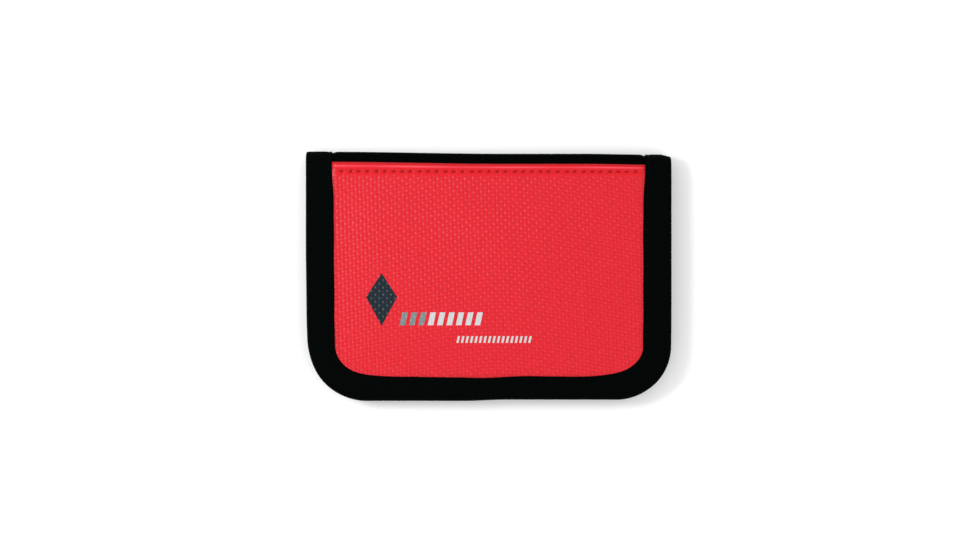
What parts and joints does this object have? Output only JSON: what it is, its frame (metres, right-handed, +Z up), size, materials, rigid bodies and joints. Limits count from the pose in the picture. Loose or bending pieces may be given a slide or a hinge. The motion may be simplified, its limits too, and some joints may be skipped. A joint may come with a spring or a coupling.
{
  "type": "bifold hook-and-loop wallet",
  "caption": "Small bifold sports wallet in coated cloth with bound edges; opens at the spine to card pockets, a clear window, a note compartment and a zipped coin pocket.",
  "frame": {"origin": "centre of the closed wallet's footprint, on the surface that it lies on", "axes": "+X along the width, +Y towards the spine, +Z up through the closed wallet, out of the front leaf"},
  "size_m": [0.125, 0.0848, 0.0084],
  "materials": {
    "coated_cloth": "coated weave, low gloss",
    "panel_thread": "sewing thread",
    "black_cloth": "plain weave, matt",
    "lining_cloth": "plain weave, matt",
    "ribbed_tape": "ribbed weave, matt",
    "black_thread": "sewing thread",
    "clear_vinyl": "clear, glossy",
    "hook_and_loop": "pile, matt",
    "zip_tape": "herringbone weave, matt",
    "zip_coil": "satin",
    "zip_metal": "brushed nickel plate"
  },
  "bodies": {
    "back_leaf": {"back_panel": "coated_cloth", "back_panel_thread": "panel_thread", "back_shell": "black_cloth", "back_lining": "lining_cloth", "back_lining_thread": "black_thread", "back_edge_binding": "ribbed_tape", "back_binding_thread": "black_thread", "card_pocket_rear": "lining_cloth", "card_pocket_middle": "lining_cloth", "window_pocket": "clear_vinyl", "window_pocket_trim": "ribbed_tape", "card_pocket_threads": "black_thread", "loop_tape": "hook_and_loop", "loop_tape_thread": "black_thread"},
    "spine": {"spine_shell": "black_cloth", "spine_lining": "lining_cloth", "spine_binding_left": "ribbed_tape", "spine_binding_right": "ribbed_tape"},
    "front_leaf": {"front_panel": "coated_cloth", "front_panel_thread": "panel_thread", "front_shell": "black_cloth", "front_lining": "lining_cloth", "front_lining_thread": "black_thread", "front_edge_binding": "ribbed_tape", "front_binding_thread": "black_thread", "coin_pocket_face": "lining_cloth", "coin_pocket_thread": "black_thread", "zip_tape_upper": "zip_tape", "zip_tape_lower": "zip_tape", "zip_tape_thread": "black_thread", "zip_coil_upper": "zip_coil", "zip_coil_lower": "zip_coil", "zip_top_stops": "zip_metal", "zip_bottom_stop": "zip_metal", "hook_tape": "hook_and_loop", "hook_tape_thread": "black_thread"},
    "zip_slider_body": {"zip_slider": "zip_metal", "zip_pull_tab": "zip_metal"}
  },
  "joints": [
    {"name": "spine_fold", "type": "hinge", "parent": "back_leaf", "child": "spine", "pos_m": [0, 0.04108, 0.00192], "axis": [-1, 0, 0], "range_deg": [0, 90]},
    {"name": "leaf_fold", "type": "hinge", "parent": "spine", "child": "front_leaf", "pos_m": [0, 0.04108, 0.00648], "axis": [-1, 0, 0], "range_deg": [0, 90]},
    {"name": "zip_slide", "type": "slide", "parent": "front_leaf", "child": "zip_slider_body", "axis": [1, 0, 0], "range_m": [0, 0.0724]}
  ],
  "couplings": [
    {"joint": "spine_fold", "follows": "leaf_fold", "ratio": 1}
  ]
}
